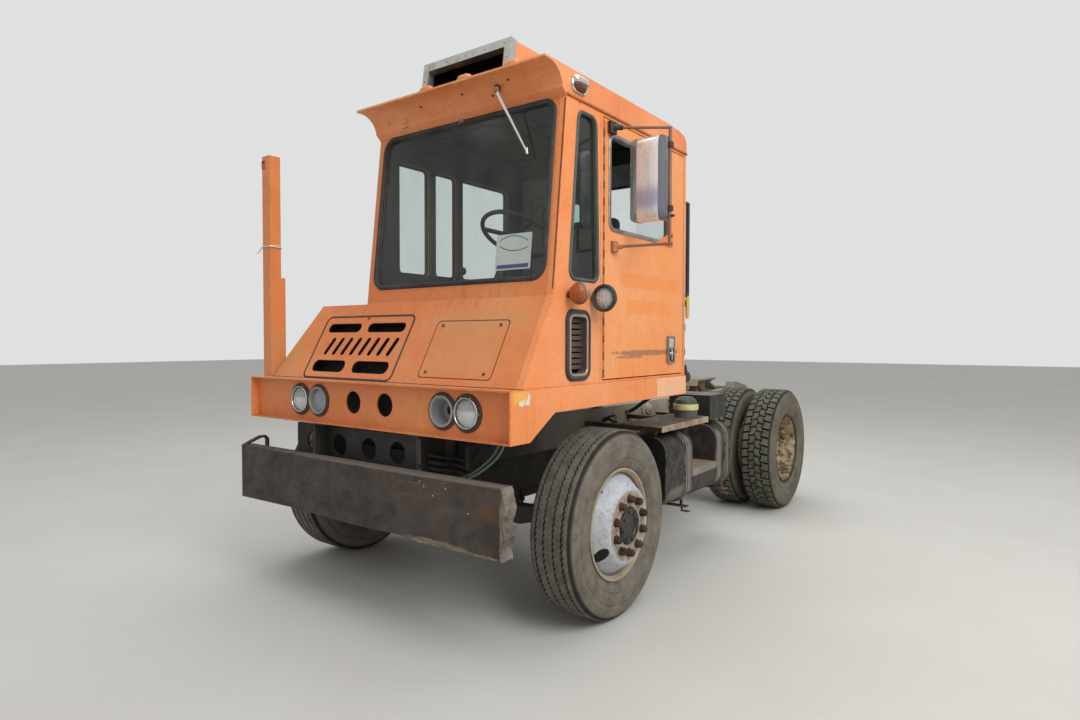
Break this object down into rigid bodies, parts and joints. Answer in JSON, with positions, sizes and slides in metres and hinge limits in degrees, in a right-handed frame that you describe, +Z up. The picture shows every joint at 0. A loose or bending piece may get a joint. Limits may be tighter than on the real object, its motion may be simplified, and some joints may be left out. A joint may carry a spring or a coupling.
{
  "type": "terminal tractor",
  "caption": "Yard tractor with an offset one-seat cab, tapered side hood, steering front axle, twin rear wheels and a fifth wheel on a hydraulic lifting boom.",
  "frame": {"origin": "on the ground under the middle of the whole vehicle's box", "axes": "+Y to the rear along the vehicle, +X to the driver's left, +Z up"},
  "size_m": [2.519, 4.752, 3.075],
  "materials": {
    "orange_paint": "faded gloss paint, chalky, scratched",
    "dusty_steel": "dusty dark chassis paint",
    "rusty_steel": "bare steel with brown rust",
    "black_paint": "worn satin black",
    "tan_paint": "dirty tan paint",
    "wheel_grey": "grey and dirty cream wheel paint",
    "wheel_cream": "dirty cream wheel paint",
    "bright_steel": "dull bright metal",
    "lamp_shell": "dull dark metal",
    "tyre_rubber": "dusty rubber",
    "hose_rubber": "matte",
    "clear_glass": "dusty clear glass",
    "lamp_glass": "clear ribbed lens",
    "amber_lens": "amber lens",
    "black_plastic": "matte, dusty",
    "seat_cover": "worn dark cloth"
  },
  "bodies": {
    "chassis": {"frame_rails": "dusty_steel", "crossmembers": "dusty_steel", "bumper": "rusty_steel", "guard_plate": "dusty_steel", "fascia_pan": "orange_paint", "fascia_skirt": "orange_paint", "lamp_buckets": "lamp_shell", "lamp_lenses": "lamp_glass", "amber_lamps": "amber_lens", "hood": "orange_paint", "grille_panel": "orange_paint", "access_panel": "orange_paint", "engine_block": "dusty_steel", "radiator": "black_paint", "cab_floor": "black_paint", "cab_front": "orange_paint", "cab_left": "orange_paint", "cab_right": "orange_paint", "cab_rear": "orange_paint", "cab_roof": "orange_paint", "cab_glass": "clear_glass", "roof_box": "orange_paint", "dash": "black_plastic", "steering_wheel": "black_plastic", "seat_base": "black_paint", "seat_cushions": "seat_cover", "vent_louvre": "dusty_steel", "corner_post": "orange_paint", "grab_rail": "black_paint", "air_hose": "hose_rubber", "step_tank": "black_paint", "deck_plate": "dusty_steel", "filter_canister": "black_paint", "hydraulic_tank": "black_paint", "battery_box": "black_paint", "air_tanks": "dusty_steel", "front_axle": "dusty_steel", "leaf_springs": "rusty_steel", "rear_axle": "dusty_steel", "propshaft": "dusty_steel", "rear_ramp": "dusty_steel"},
    "left_door": {"left_door": "orange_paint", "door_glass": "clear_glass", "door_mirror": "bright_steel"},
    "rear_door": {"rear_door": "orange_paint"},
    "boom": {"boom": "tan_paint"},
    "fifth_wheel": {"fifth_wheel": "tan_paint"},
    "lift_barrels": {"lift_barrels": "black_paint"},
    "lift_rods": {"lift_rods": "bright_steel"},
    "knuckle_left": {"knuckle_left": "dusty_steel"},
    "knuckle_right": {"knuckle_right": "dusty_steel"},
    "tie_rod": {"tie_rod": "dusty_steel"},
    "front_wheel_left": {"front_tyre_left": "tyre_rubber", "front_rim_left": "wheel_grey"},
    "front_wheel_right": {"front_tyre_right": "tyre_rubber", "front_rim_right": "wheel_grey"},
    "rear_wheels_left": {"rear_tyres_left": "tyre_rubber", "rear_rims_left": "wheel_cream"},
    "rear_wheels_right": {"rear_tyres_right": "tyre_rubber", "rear_rims_right": "wheel_cream"}
  },
  "joints": [
    {"name": "steer_left", "type": "hinge", "parent": "chassis", "child": "knuckle_left", "pos_m": [0.785, -1.512, 0.506], "axis": [0, 0, 1], "range_deg": [-38, 38]},
    {"name": "steer_right", "type": "hinge", "parent": "chassis", "child": "knuckle_right", "pos_m": [-0.915, -1.512, 0.506], "axis": [0, 0, 1], "range_deg": [-38, 38]},
    {"name": "tie_rod_turn", "type": "hinge", "parent": "knuckle_left", "child": "tie_rod", "pos_m": [0.785, -1.322, 0.4], "axis": [0, 0, 1], "range_deg": [-38, 38]},
    {"name": "front_spin_left", "type": "hinge", "parent": "knuckle_left", "child": "front_wheel_left", "pos_m": [0.964, -1.512, 0.506], "axis": [1, 0, 0], "continuous": true},
    {"name": "front_spin_right", "type": "hinge", "parent": "knuckle_right", "child": "front_wheel_right", "pos_m": [-1.094, -1.512, 0.506], "axis": [1, 0, 0], "continuous": true},
    {"name": "rear_spin_left", "type": "hinge", "parent": "chassis", "child": "rear_wheels_left", "pos_m": [0.7515, 1.526, 0.525], "axis": [1, 0, 0], "continuous": true},
    {"name": "rear_spin_right", "type": "hinge", "parent": "chassis", "child": "rear_wheels_right", "pos_m": [-0.8815, 1.526, 0.525], "axis": [1, 0, 0], "continuous": true},
    {"name": "door_swing", "type": "hinge", "parent": "chassis", "child": "left_door", "pos_m": [0.971, -1.515, 1.98], "axis": [0, 0, -1], "range_deg": [0, 80]},
    {"name": "rear_door_slide", "type": "slide", "parent": "chassis", "child": "rear_door", "axis": [1, 0, 0], "range_m": [0, 0.6]},
    {"name": "boom_lift", "type": "hinge", "parent": "chassis", "child": "boom", "pos_m": [-0.065, 0.104, 0.955], "axis": [1, 0, 0], "range_deg": [0, 17]},
    {"name": "fifth_wheel_rock", "type": "hinge", "parent": "boom", "child": "fifth_wheel", "pos_m": [-0.065, 1.448, 1.05], "axis": [1, 0, 0], "range_deg": [-22, 8]},
    {"name": "lift_barrel_swing", "type": "hinge", "parent": "chassis", "child": "lift_barrels", "pos_m": [-0.065, 0.738, 0.64], "axis": [1, 0, 0], "range_deg": [0, 25.01]},
    {"name": "lift_rod_slide", "type": "slide", "parent": "lift_barrels", "child": "lift_rods", "axis": [0, 0.8836, 0.4683], "range_m": [0, 0.1887]}
  ],
  "couplings": [
    {"joint": "steer_right", "follows": "steer_left", "ratio": 1},
    {"joint": "tie_rod_turn", "follows": "steer_left", "ratio": -1},
    {"joint": "lift_barrel_swing", "follows": "boom_lift", "ratio": 1.465},
    {"joint": "lift_rod_slide", "follows": "boom_lift", "m_per_rad": 0.6325}
  ]
}
